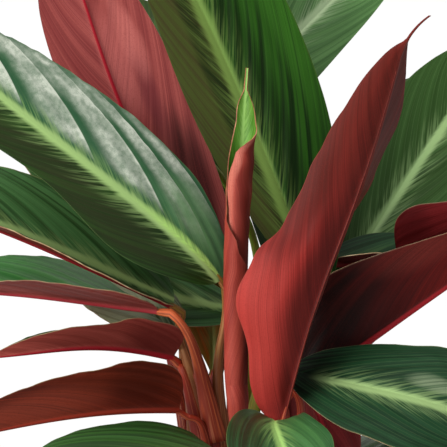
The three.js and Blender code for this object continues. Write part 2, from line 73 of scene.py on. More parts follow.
# Every leaf: the four points its midrib passes through, the way its upper side faces, the half
# widths (left, right), how steeply each half leaves the midrib and how much it bends, in degrees.
# A list instead of one number is spread evenly from base to tip. Many midrib points and half
# widths weren't chosen by hand: a least-squares program fitted them to outlines picked one by one.
# upper, under, stem and rim name the finishes that aren't the usual ones.
LEAVES = [
    dict(name="leaf_left_broad", shoot="left", tip=0.62, stalk_radius=2.1, stalk_foot=3,
         upper="glossy", stem="olive",
         rib=[[-1, -21, 331], [-52, -38, 380], [-121, -42, 433], [-183, -37, 490]],
         stalk=[[0, -18, 303], [-3, -17, 281], [1, -15, 236]],
         face=[0.15, -1, 0.45], half=[[26, 31, 22, 29, 34], [38, 44, 46, 49, 52]], rise=[-6, -12],
         curl=[-10, -12]),
    dict(name="leaf_left_under_broad", shoot="left", stalk_radius=2.4, stalk_foot=4.2, upper="mid",
         stem="olive", rim="pale",
         rib=[[-28, -5, 315], [-90, -13, 344], [-152, -8, 367], [-218, 7, 379]],
         stalk=[[-24, -5, 295], [-18, -9, 278], [-9, -11, 238]],
         face=[0, -0.45, 1], half=[[36, 31, 33, 36], [35, 38, 42, 37]], rise=[[30, 42, 36], 36],
         curl=[-8, -10]),
    dict(name="leaf_left_level", shoot="left", tuck=0, stalk_radius=2.2, stalk_foot=5, upper="level",
         under="pale", stem="coral",
         rib=[[-36, -24, 315], [-92, -19, 321], [-150, -16, 324], [-208, -10, 314]],
         stalk=[[-19, -27, 300], [-12, -22, 277], [-4, -16, 240]],
         face=[0, -0.1, 1], half=[[35, 24, 13, 6], [24, 44, 38, 33, 29]],
         rise=[[30, 34, 34], [2, 26, 32]], curl=[0, -8]),
    dict(name="leaf_left_behind", shoot="back_left", upper="greyed", stem="olive",
         rib=[[-27, 8, 298], [-50, 18, 312], [-74, 26, 322], [-98, 32, 328]],
         stalk=[[-22, 6, 276], [-18, 12, 252], [-17, 19, 218]],
         face=[0, -0.6, 1], half=[24, 24]),
    dict(name="leaf_left_folded", shoot="left", base=0.4, lobe=4, tuck=30, stalk_radius=2.6,
         stalk_foot=5, under="ruddy",
         rib=[[-28, -6, 286], [-66, -23, 294], [-97, -37, 294], [-135, -41, 290]],
         stalk=[[-22, -9, 277], [-17, -11, 260], [-8, -13, 220]],
         face=[0, 0.25, 1], half=[[34, 26, 17, 18, 19, 21], [9, 26]], rise=[[38, 44, 46], 44],
         curl=[-6, -6]),
    dict(name="leaf_left_arching", shoot="left", base=0.42, tuck=30, stalk_radius=1.6, stalk_foot=3.4,
         under="umber",
         rib=[[-25, -26, 260], [-63, -41, 261], [-108, -47, 255], [-172, -49, 240]],
         stalk=[[-14, -22, 252], [-10, -19, 242], [-7, -15, 216]],
         face=[0, 0.12, 1], half=[[42, 35, 29, 30, 32, 34], [14, 32]], rise=[58, 58], curl=[-4, -4]),
    dict(name="leaf_left_drooping", shoot="left",
         rib=[[-2, -43, 238], [-38, -71, 242], [-87, -92, 233], [-113, -102, 209]],
         stalk=[[-2, -34, 228], [-6, -24, 212], [-8, -15, 190]],
         face=[0, -0.6, 1], half=[[33, 33, 33, 33], [26, 28, 32, 35]]),
    dict(name="leaf_top_left", shoot="back", under="rose",
         rib=[[1, 6, 338], [-45, 24, 396], [-74, 39, 467], [-99, 49, 538]],
         stalk=[[3, 8, 305], [5, 11, 270], [6, 12, 222]],
         face=[0, 1, 0.1], half=[[35, 42], [30, 30, 52]], rise=[12, 6], curl=[-14, -8]),
    dict(name="leaf_top_middle", shoot="back", base=0.6, stalk_radius=2.6, stalk_foot=3.4,
         upper="translucent", stem="lime",
         rib=[[55, -2, 321], [15, 24, 418], [-28, 44, 508], [-87, 53, 600]],
         stalk=[[31, 3, 298], [19, 3, 262], [9, 9, 222]],
         face=[0, -1, 0.1], half=[[26, 30, 28, 26], [42, 45, 48, 50]]),
    dict(name="leaf_rolled", shoot="middle", tip=0.95, upper="young", under="coral", rim="red",
         rib=[[8, -34, 244], [7, -26, 315], [9, -21, 384], [13, -25, 448]],
         stalk=[[9, -34, 228], [11, -31, 212], [11, -26, 190]],
         face=[0, -1, 0],
         half=[[30, 34, 34, 32, 32, 31, 24.4, 17.6, 17.5, 19, 17, 30, 30],
               [38, 34, 25.6, 22.5, 23.2, 25, 27.4, 33.4, 43.5, 48, 36, 37, 37]],
         rise=[0, 0],
         curl=[[290, 290, 290, 290, 285, 250, 180, 115, 95, 85, 70, 50, 30],
               [235, 235, 235, 240, 245, 250, 258, 265, 262, 213, 90, 50, 30]]),
    dict(name="leaf_unfurling", shoot="middle", tip=0.8, hook=[8, 0, -11], under="crimson", rim="red",
         rib=[[32, -49, 255], [54, -62, 335], [76, -58, 394], [101, -72, 489]],
         stalk=[[24, -44, 238], [17, -36, 220], [12, -27, 192]],
         face=[0, 1, 0], half=[[30, 32, 32, 32, 34, 46, 36], [44, 38, 48, 43, 34, 34, 38, 43, 51, 59]],
         rise=[[150, 140, 115, 86, 74, 61, 50], [-28, -34, -36, -32, -26, -20, -14]],
         curl=[0, [60, 72, 76, 68, 54, 40, 30]]),
    dict(name="leaf_right_upright", shoot="back_right", upper="shaded",
         rib=[[64, 21, 318], [96, 44, 367], [129, 63, 417], [162, 73, 470]],
         stalk=[[60, 22, 292], [48, 22, 258], [38, 21, 218]],
         face=[0, -1, 0.2], half=[[30, 37, 46], [35, 35, 35]]),
    dict(name="leaf_right_folded", shoot="right", base=0.4, under="wine", rim="pale",
         rib=[[38, -10, 266], [82, -16, 297], [135, -20, 335], [180, -18, 362]],
         stalk=[[35, -9, 250], [33, -8, 235], [31, -7, 210]],
         face=[[0, 1, 0.5], [0, 0.7, 1], [0, 0.5, 1]], half=[[17, 29, 41], [51, 44, 37, 31]],
         rise=[40, 40], curl=[-6, -6]),
    dict(name="leaf_right_high", shoot="back_right", base=0.36, lobe=2, under="maroon",
         rib=[[97, 0, 343], [130, -3, 347], [158, 2, 350], [190, 7, 345]],
         stalk=[[84, 2, 322], [66, 14, 285], [42, 20, 230]],
         face=[0, 0.5, 1], half=[8, [37, 31, 25, 20]], rise=[40, 40], curl=[-6, -6]),
    dict(name="leaf_right_behind", shoot="back_right", upper="dim", rim="pale",
         rib=[[60, 11, 337], [90, 18, 336], [121, 26, 336], [156, 36, 331]],
         stalk=[[51, 15, 318], [44, 18, 280], [38, 20, 226]],
         face=[0, 0, 1], half=[[19, 19, 18, 16], [14, 13, 11, 5, 4, 4]], rise=[60, 38], curl=[-6, -6]),
    dict(name="leaf_right_spreading", shoot="right", upper="glossy_deep", rim="pale",
         rib=[[37, -31, 282], [84, -57, 276], [119, -72, 269], [166, -77, 253]],
         stalk=[[43, -27, 258], [37, -19, 238], [31, -9, 210]],
         face=[0, -1.1, 1], half=[[28, 30, 40, 46], [28, 33, 41, 46]]),
    dict(name="leaf_front", shoot="middle", base=0.42, lobe=26, tuck=45, upper="fresh",
         rib=[[28, -68, 261], [29, -99, 257], [35, -128, 240], [34, -146, 209]],
         stalk=[[25, -54, 240], [18, -42, 222], [12, -28, 195]],
         face=[0, -0.7, 1], half=[[20, 28, 34], [24, 29, 34]], rise=[10, 10]),
    dict(name="leaf_top_right", shoot="back", upper="silvery", stem="lime",
         rib=[[-11, 55, 403], [37, 76, 457], [88, 92, 507], [135, 102, 565]],
         stalk=[[17, 44, 347], [19, 32, 294], [8, 13, 222]],
         face=[0, -1, 0.15], half=[[30, 30], [32, 25, 24]]),
    dict(name="leaf_hanging", shoot="right", stem="olive",
         rib=[[41, 9, 274], [53, 5, 254], [61, 0, 226], [65, -3, 188]],
         stalk=[[33, 8, 276], [30, 3, 254], [31, -6, 222]],
         face=[0, 1, 0.1], half=[21, 21]),
    dict(name="leaf_behind_rolled", shoot="back_left", stalk_radius=2.4, stalk_foot=4.4, upper="mid",
         rib=[[8, 27, 305], [-26, 38, 310], [-60, 48, 318], [-94, 54, 330]],
         stalk=[[2, 22, 286], [-8, 20, 255], [-16, 21, 218]],
         face=[0, -0.9, 1], half=[18, 18], rise=[12, 50]),
    dict(name="leaf_back_high", shoot="back_left", base=1.2, upper="bronze",
         rib=[[-7, 36, 268], [-14, 58, 345], [-38, 108, 430], [-62, 170, 490]],
         stalk=[[-8, 32, 250], [-12, 27, 236], [-17, 22, 205]],
         face=[0, -1, 0.6], half=[[50, 36, 34], 34], rise=[16, 12], curl=[-16, -14]),
    dict(name="leaf_back_left", shoot="back_left",
         rib=[[-42, 66, 324], [-80, 98, 376], [-117, 134, 418], [-152, 172, 440]],
         stalk=[[-35, 56, 294], [-26, 38, 258], [-18, 22, 212]],
         face=[0.2, -0.7, 1], half=[34, 34], rise=[14, 18], curl=[-16, -18]),
    dict(name="leaf_back_middle", shoot="back_right",
         rib=[[34, 56, 318], [32, 104, 372], [34, 158, 404], [38, 216, 408]],
         stalk=[[33, 48, 290], [34, 36, 255], [36, 22, 212]],
         face=[0, -0.4, 1], half=[[14, 26, 34], 30], rise=[16, 16], curl=[-18, -18]),
    dict(name="leaf_back_right", shoot="back_right",
         rib=[[58, 68, 342], [92, 106, 388], [126, 144, 420], [158, 182, 436]],
         stalk=[[50, 52, 305], [44, 36, 262], [38, 23, 212]],
         face=[-0.2, -0.8, 1], half=[33, 33], rise=[16, 14], curl=[-16, -16]),
    dict(name="leaf_back_low_left", shoot="back_left",
         rib=[[-28, 58, 204], [-52, 104, 206], [-78, 152, 186], [-102, 194, 148]],
         stalk=[[-25, 48, 194], [-22, 36, 184], [-19, 24, 170]],
         face=[0, 0.2, 1], half=[34, 34], rise=[20, 20], curl=[-22, -22]),
    dict(name="leaf_back_low_right", shoot="back_right",
         rib=[[52, 56, 212], [76, 100, 218], [104, 146, 200], [128, 188, 160]],
         stalk=[[48, 46, 200], [43, 34, 188], [38, 24, 172]],
         face=[0, 0.2, 1], half=[34, 34], rise=[20, 20], curl=[-22, -22]),
    dict(name="leaf_low_left", shoot="left",
         rib=[[-44, 4, 198], [-92, 14, 208], [-142, 22, 192], [-186, 26, 152]],
         stalk=[[-34, 0, 188], [-22, -6, 178], [-12, -11, 164]],
         face=[0, -0.2, 1], half=[33, 33], rise=[20, 20], curl=[-22, -22]),
    dict(name="leaf_low_right", shoot="right",
         rib=[[66, 16, 208], [112, 24, 224], [160, 28, 214], [204, 28, 178]],
         stalk=[[56, 10, 198], [44, 2, 187], [32, -4, 168]],
         face=[0, -0.2, 1], half=[33, [22, 33, 33]], rise=[20, 20], curl=[-22, -22]),
    dict(name="leaf_low_front", shoot="middle",
         rib=[[-8, -58, 196], [-26, -98, 202], [-46, -136, 186], [-66, -166, 150]],
         stalk=[[-3, -47, 184], [4, -34, 174], [9, -22, 160]],
         face=[0, -0.3, 1], half=[31, 31], rise=[18, 18], curl=[-20, -20]),
]

# Every shoot: where it stands in the soil and the sheath its stalks part from.
SHOOTS = [
    dict(name="left", at=[-10, -8], radius=7.5,
         sheath=[[-10, -8, 140], [-6, -11, 190], [-4, -13, 232], [-13, -16, 278]], top=4.3),
    dict(name="middle", at=[10, -16], radius=7,
         sheath=[[10, -16, 140], [10, -19, 162], [11, -24, 184], [13, -30, 206]], top=5),
    dict(name="right", at=[28, -4], radius=6.5,
         sheath=[[28, -4, 140], [29, -5, 165], [31, -7, 190], [33, -9, 218]], top=4.5),
    dict(name="back", at=[7, 11], radius=5.5,
         sheath=[[7, 11, 140], [7, 11, 170], [7, 11, 200], [7, 10, 232]], top=4),
    dict(name="back_left", at=[-18, 19], radius=7.5,
         sheath=[[-18, 19, 140], [-18, 20, 168], [-17, 21, 196], [-17, 22, 226]], top=5),
    dict(name="back_right", at=[36, 21], radius=7.5,
         sheath=[[36, 21, 140], [36, 21, 168], [37, 22, 196], [37, 22, 226]], top=5),
]

# ---- veins, pleats and folds of the leaves ----

# How far a side vein runs ahead for every millimetre away from the midrib, how much farther when
# it has come to the margin, and how far the veins of the two halves are out of step.
VEIN_SLOPE = 1.9
VEIN_BEND = 1.35
VEIN_STAGGER = 3.7

# The broad pleats between the side veins: height and spacing along the midrib.
PLEAT_HEIGHT = 0.34
PLEAT_SPACING = 26
PLEATS = {"leaf_left_broad": (0.5, 27), "leaf_rolled": (0, 20), "leaf_unfurling": (0.16, 22),
          "leaf_right_spreading": (0.4, 24), "leaf_top_left": (0.3, 24)}

# Lengthwise folds: side, place across, half width and depth, and where along the leaf they lie.
FOLDS = {
    "leaf_unfurling": [(1, 0.42, 0.12, 1.6, 0.08, 0.62), (1, 0.17, 0.10, -0.9, 0.05, 0.5)],
}

# The mesh of a blade: rows from base to tip, columns in each half, how much closer the columns
# stand by the midrib, its thickness, and how far its map is moved for every 1 of its seed.
BLADE_ROWS = 92
BLADE_COLUMNS = 20
COLUMN_CROWDING = 1.45
PAPER = 0.5
MAP_STEP = 400

# How much lower the soil's rough top lies than its solid's, how many crumbs are tried on it, and
# the sides of the pot and the soil.
SOIL_SUNK = 1.2
CRUMBS = 420
ROUND_SIDES = 128


# ---- curves and meshes ----

def spread(values, u):
    """The value at u, 0 base to 1 tip, of one number or of a list spread evenly along the leaf."""
    if not isinstance(values, (list, tuple)):
        return values
    place = min(max(u, 0), 1) * (len(values) - 1)
    first = min(int(place), len(values) - 2)
    share = (1 - math.cos(math.pi * (place - first))) / 2
    return values[first] * (1 - share) + values[first + 1] * share


def ease(value, low, high):
    share = min(max((value - low) / (high - low), 0), 1)
    return share * share * (3 - 2 * share)


class Run:
    """The smooth curve through four points spread evenly along it."""

    def __init__(self, points):
        a, b, c, d = (Vector(p) for p in points)
        self.knots = (a, (b * 18 - a * 5 - c * 9 + d * 2) / 6, (a * 2 - b * 9 + c * 18 - d * 5) / 6, d)

    def at(self, u):
        v = 1 - u
        a, b, c, d = self.knots
        return a * v**3 + b * (3 * v * v * u) + c * (3 * v * u * u) + d * u**3

    def ahead(self, u):
        v = 1 - u
        a, b, c, d = self.knots
        return ((b - a) * v * v + (c - b) * (2 * u * v) + (d - c) * u * u).normalized()


def new_mesh(name, points, faces):
    """A mesh in metres from points in millimetres."""
    mesh = bpy.data.meshes.new(name)
    mesh.from_pydata([tuple(MM * x for x in p) for p in points], [], faces)
    return mesh


def put_in_scene(name, data):
    made = bpy.data.objects.new(name, data)
    bpy.context.scene.collection.objects.link(made)
    return made


def add_form(points, faces, more_points, more_faces):
    """Adds the points and faces of one form to lists that may hold others."""
    first = len(points)
    points += more_points
    faces += [tuple(first + c for c in face) for face in more_faces]


def make_piece(name, points, faces, finishes, which=None, maps=None, sharp=None):
    """A piece of the plant: which has the finish of every face, maps two numbers for every point,
    and sharp says whether the edge between two points is one."""
    mesh = new_mesh(name, points, faces)
    for finish in finishes:
        mesh.materials.append(finish)
    if which:
        mesh.polygons.foreach_set("material_index", which)
    corners = [0] * len(mesh.loops)
    mesh.loops.foreach_get("vertex_index", corners)
    for title, places in (maps or {}).items():
        layer = mesh.uv_layers.new(name=title)
        layer.uv.foreach_set("vector", [x for corner in corners for x in places[corner]])
    mesh.shade_smooth()
    if sharp:
        for edge in mesh.edges:
            edge.use_edge_sharp = sharp(*edge.vertices)
    made = put_in_scene(name, mesh)
    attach(made, "root")
    return made


# ---- shader maths ----

def math_node(operation, reflected=False):
    """A method of Value: a Math node over the value and what else it is given. The reflected form
    takes them the other way round, so that 1 - mask works too."""
    def method(self, *others):
        given = (*others, self) if reflected else (self, *others)
        node = self.finish.add("ShaderNodeMath", {"operation": operation}, dict(enumerate(given)))
        return Value(self.finish, node.outputs[0])
    return method


class Value:
    """A number that changes over a surface, held as a socket and used in plain sums."""

    __add__ = __radd__ = math_node("ADD")
    __mul__ = __rmul__ = math_node("MULTIPLY")
    __sub__ = math_node("SUBTRACT")
    __rsub__ = math_node("SUBTRACT", reflected=True)
    __truediv__ = math_node("DIVIDE")
    __rtruediv__ = math_node("DIVIDE", reflected=True)
    __abs__ = math_node("ABSOLUTE")
    __gt__ = math_node("GREATER_THAN")
    fraction = math_node("FRACT")
    highest = math_node("MAXIMUM")

    def __init__(self, finish, socket):
        self.finish = finish
        self.socket = socket

    def step(self, low, high, start=0.0, end=1.0):
        """start below low, end above high, and a smooth change between them."""
        node = self.finish.add(
            "ShaderNodeMapRange", {"interpolation_type": "SMOOTHSTEP", "clamp": True},
            {"Value": self, "From Min": low, "From Max": high, "To Min": start, "To Max": end})
        return Value(self.finish, node.outputs["Result"])


def tint(text):
    """A colour given as #rrggbb, as the shader takes it."""
    parts = [int(text[i:i + 2], 16) / 255 for i in (1, 3, 5)]
    return (*[p / 12.92 if p <= 0.04045 else ((p + 0.055) / 1.055) ** 2.4 for p in parts], 1)


class Finish:
    """One material while it is made: its nodes, its surface shader and the colour so far."""

    def __init__(self, name, ground):
        self.material = bpy.data.materials.new(name)
        self.material.use_nodes = True
        self.material.node_tree.nodes.clear()
        self.colour = tint(ground)
        self.shader = self.add("ShaderNodeBsdfPrincipled")
        self.add("ShaderNodeOutputMaterial", {}, {"Surface": self.shader.outputs["BSDF"]})

    def add(self, kind, settings=None, sockets=None):
        """A node of that type: its settings first, then the values or links its sockets take."""
        node = self.material.node_tree.nodes.new(kind)
        for key, value in (settings or {}).items():
            setattr(node, key, value)
        for key, value in (sockets or {}).items():
            self.put(node, key, value)
        return node

    def put(self, node, key, value):
        if isinstance(value, Value):
            value = value.socket
        if isinstance(value, bpy.types.NodeSocket):
            self.material.node_tree.links.new(value, node.inputs[key])
        else:
            node.inputs[key].default_value = value

    def surface(self, **sockets):
        """The finished material, with its colour and what else its shader takes."""
        self.put(self.shader, "Base Color", self.colour)
        for key, value in sockets.items():
            self.put(self.shader, key.replace("_", " "), value)
        return self.material

    def map(self, name):
        """The two numbers that a piece's map of that name holds at a place."""
        node = self.add("ShaderNodeUVMap", {"uv_map": name})
        parts = self.add("ShaderNodeSeparateXYZ", {}, {"Vector": node.outputs["UV"]})
        return Value(self, parts.outputs["X"]), Value(self, parts.outputs["Y"])

    def speckle(self, x, y, z=0.0, detail=2.0, roughness=0.5):
        """Noise from 0 to 1 over the given numbers."""
        place = self.add("ShaderNodeCombineXYZ", {}, {"X": x, "Y": y, "Z": z})
        node = self.add("ShaderNodeTexNoise", {"noise_dimensions": "3D"},
                        {"Vector": place.outputs["Vector"], "Scale": 1.0, "Detail": detail,
                         "Roughness": roughness})
        return Value(self, node.outputs["Fac"])

    def grit(self, per_metre, detail, roughness=0.5, shift=0.0):
        """Noise from 0 to 1 through space, with about so many spots to a metre."""
        place = self.add("ShaderNodeNewGeometry")
        parts = self.add("ShaderNodeSeparateXYZ", {}, {"Vector": place.outputs["Position"]})
        x, y, z = (Value(self, parts.outputs[k]) * per_metre for k in "XYZ")
        return self.speckle(x, y, z + shift, detail, roughness)

    def paint(self, colour, share):
        """Lays a colour over what is there, as much of it as share says."""
        node = self.add("ShaderNodeMix", {"data_type": "RGBA", "blend_type": "MIX"},
                        {0: share, 6: self.colour, 7: tint(colour)})
        self.colour = node.outputs[2]

    def relief(self, height, depth):
        """A surface raised by up to that many millimetres."""
        node = self.add("ShaderNodeBump", {},
                        {"Height": height, "Distance": depth * MM, "Strength": 1.0})
        return node.outputs["Normal"]


# ---- finishes of the leaves ----

def along_veins(finish, slope=VEIN_SLOPE, bend=VEIN_BEND):
    """Length, distance from the midrib (negative on the left), the share of the way to the tip and
    to the margin, and the length at which the side vein through the place leaves the midrib."""
    length, across = finish.map("Span")
    share, edge = finish.map("Place")
    away = abs(across)
    leaves_at = length - away * (edge * edge * bend + slope) + (across > 0) * VEIN_STAGGER
    return length, across, share, edge, leaves_at


def paint_tones_and_light(finish, tones_and_painted_light, share, edge, wander, streaks):
    """Soft stretches of another colour, most of them painted shade, shadow and light where the leaves
    shade and light one another, a few the leaf's own colour: each tone has the colour, its middle on
    the way to the tip and across (-1 left margin, 1 right margin), how far it reaches both ways, and
    how strong."""
    for tone, along, aside, reach, breadth, amount in tones_and_painted_light:
        ahead = (share - along) / reach
        over = (edge - aside) / breadth
        far = ahead * ahead + over * over + wander
        finish.paint(tone, far.step(0.0, 1.5, amount, 0.0) * streaks)


def pleat_painted_highlight(finish, places, vein, broad, spacing, start):
    """The share of painted highlight on pleats that are so far apart: a whitish reflection laid
    on as colour; the first one begins at start.
    """
    length, across, share, margin_share = places
    grain = finish.speckle(length / 0.6, across / 0.6, 2.9, detail=1)
    cloud = finish.speckle(length / 3, across / 3, 6.2, detail=3)
    drift = finish.speckle(length / 20, across / 11, 5.1, detail=1)
    place = vein + vein.step(start + 3, start + spacing, -13, 0) + (broad - 0.5) * 3
    pleat = ((place - start) / spacing).fraction()
    lit = pleat.step(0.4, 0.9, 0.88, 0.03) * pleat.step(0.0, 0.03)
    veil = margin_share.step(0.5, 0.8) * share.step(0.4, 0.56) * 0.45
    lit = lit.highest(veil) * (cloud.step(0.3, 0.66, 0.62, 1.0) + (grain - 0.5) * 0.6)
    lit = lit + pleat.step(0.0, 0.02) * pleat.step(0.03, 0.1, 0.3, 0.0)
    lit = lit * drift.step(0.36, 0.6, 0.62, 1.14) * margin_share.step(0.9, 0.99, 1.0, 0.4)
    return lit * abs(across).step(3, 11) * share.step(0.03, 0.36)


def upper_side(name, deep, fresh, band, margin, band_width=3.4, band_share=0.9, veins=0.1,
               shine=0.4, contrast=0.6, gloss=0.3, halves=None, painted_sheen=None, tones_and_painted_light=(),
               slope=VEIN_SLOPE, bend=VEIN_BEND, band_shift=0.0, band_drift=0.0, band_from=0.0,
               late_tones_and_painted_light=()):
    """The green side: dark with a pale feathered band on the midrib and fine side veins.

    halves holds a colour and how much of it is laid on the left and the right half, to make one
    half lighter or darker; painted_sheen holds the colour of a whitish highlight painted on the
    pleats, their spacing and where the first one starts. The band lies band_shift beside the midrib
    at the base and drifts by band_drift on its way to the tip; below band_from it is missing.
    tones_and_painted_light, stretches of colour that are mostly painted shade and light, lie under
    the band and late_tones_and_painted_light over it.
    """
    finish = Finish("leaf_upper_" + name, deep)
    length, across, share, edge, vein = along_veins(finish, slope, bend)
    margin_share = abs(edge)
    broad = finish.speckle(vein / 8, across / 60, 1.3, detail=1)
    fine = finish.speckle(vein / 0.9, across / 45, 4.1, detail=2)
    threads = finish.speckle(vein / 2.4, across / 50, 9.4, detail=1)
    barbs = finish.speckle(vein / 2.1, across / 14, 7.7, detail=3, roughness=0.65)
    tufts = finish.speckle(vein / 7, across / 30, 3.1, detail=1).step(0.45, 0.75)
    lines = abs((vein / 7.5 + barbs * 0.12).fraction() - 0.5) * 2
    right = across > 0

    finish.paint(fresh, broad.step(0.36, 0.64) * contrast + (fine - 0.5) * 0.25
                 + (threads - 0.5) * 0.2)
    # halves lays a colour more on one half than the other; on leaf_left_broad it lightens the right
    # half as painted light.
    if halves:
        tone, left_share, right_share = halves
        finish.paint(tone, right * (right_share - left_share) + left_share)
    line_share = lines.step(0.84, 1.0) * veins * margin_share.step(0.75, 1.0, 1.0, 0.3)
    finish.paint(band, line_share)
    # Painted sheen: whitish highlights laid on the pleats of the right half as colour.
    if painted_sheen:
        highlight_colour, spacing, start = painted_sheen
        lit = pleat_painted_highlight(finish, (length, across, share, margin_share), vein, broad, spacing, start)
        finish.paint(highlight_colour, lit * right)
    # Soft stretches of painted shade and light, with a few of the leaf's own tones, under the band.
    paint_tones_and_light(finish, tones_and_painted_light, share, edge, (fine - 0.5) * 1.2 + (broad - 0.5) * 1.2,
                threads.step(0.35, 0.6, 0.5, 1.0))
    width = (barbs * 1.2 + fine * 0.3 + tufts * 0.4 + 0.2) * band_width
    width = width * share.step(0.55, 1.0, 1.0, 0.35) * share.step(0.0, 0.28, 0.5, 1.0)
    beside = abs(across - share * band_drift - band_shift)
    feather = (beside / width).step(0.3, 1.7, 1.0, 0.0)
    halo = (beside / (width * 3.4)).step(0.0, 1.2, 0.5, 0.0) * barbs.step(0.42, 0.6)
    shown = share.step(band_from - 0.1, band_from) * band_share
    finish.paint(band, feather.highest(halo) * shown)
    # Painted light over the band.
    paint_tones_and_light(finish, late_tones_and_painted_light, share, edge, (fine - 0.5) * 0.8,
                threads.step(0.3, 0.6, 0.6, 1.0))
    finish.paint(margin, margin_share.step(0.98, 0.995) * 0.4)

    relief = finish.relief(fine * 0.6 + lines.step(0.7, 1.0) * 0.5, 0.035)
    rough = shine + (fine - 0.5) * 0.16 + (barbs - 0.5) * 0.08
    return finish.surface(Roughness=rough, Normal=relief, Specular_IOR_Level=gloss)


def under_side(name, deep, bright, rib, margin, rib_width=1.3, tones_and_painted_light=(), threads=0.2):
    """The burgundy side: silky, streaked along its fine veins, the midrib a clear line, with soft
    stretches that are mostly painted shade and light.
    """
    finish = Finish("leaf_under_" + name, deep)
    length, across, share, edge, vein = along_veins(finish)
    broad = finish.speckle(vein / 15, across / 60, 2.2, detail=2)
    fine = finish.speckle(vein / 1.1, across / 60, 5.9, detail=2)
    thread = finish.speckle(vein / 1.3, across / 80, 8.4, detail=1)
    dots = finish.speckle(length / 0.8, across / 0.8, 3.3, detail=1)

    finish.paint(bright, broad.step(0.3, 0.7) * 0.5 + fine.step(0.3, 0.7) * 0.5)
    # Soft stretches of painted shade and light.
    paint_tones_and_light(finish, tones_and_painted_light, share, edge, (fine - 0.5) * 1.2 + (broad - 0.5) * 1.2,
                fine.step(0.3, 0.65, 0.55, 1.0))
    finish.paint(deep, dots.step(0.5, 0.8) * 0.3)
    finish.paint("#340608", thread.step(0.5, 0.7) * threads)
    width = rib_width * share.step(0.4, 1.0, 1.0, 0.4)
    finish.paint(rib, (abs(across) / width).step(0.5, 1.3, 1.0, 0.0))
    finish.paint(margin, abs(edge).step(0.98, 0.995) * 0.3)

    return finish.surface(Roughness=(fine - 0.5) * 0.15 + 0.48,
                          Normal=finish.relief(fine, 0.05), Specular_IOR_Level=0.14)


def margin_finish(name, pale, warm):
    """The thin rim of a blade."""
    finish = Finish(name, pale)
    length, across = finish.map("Span")
    patch = finish.speckle(length / 6, across / 6)
    finish.paint(warm, patch.step(0.35, 0.65))
    return finish.surface(Roughness=patch * 0.2 + 0.4)


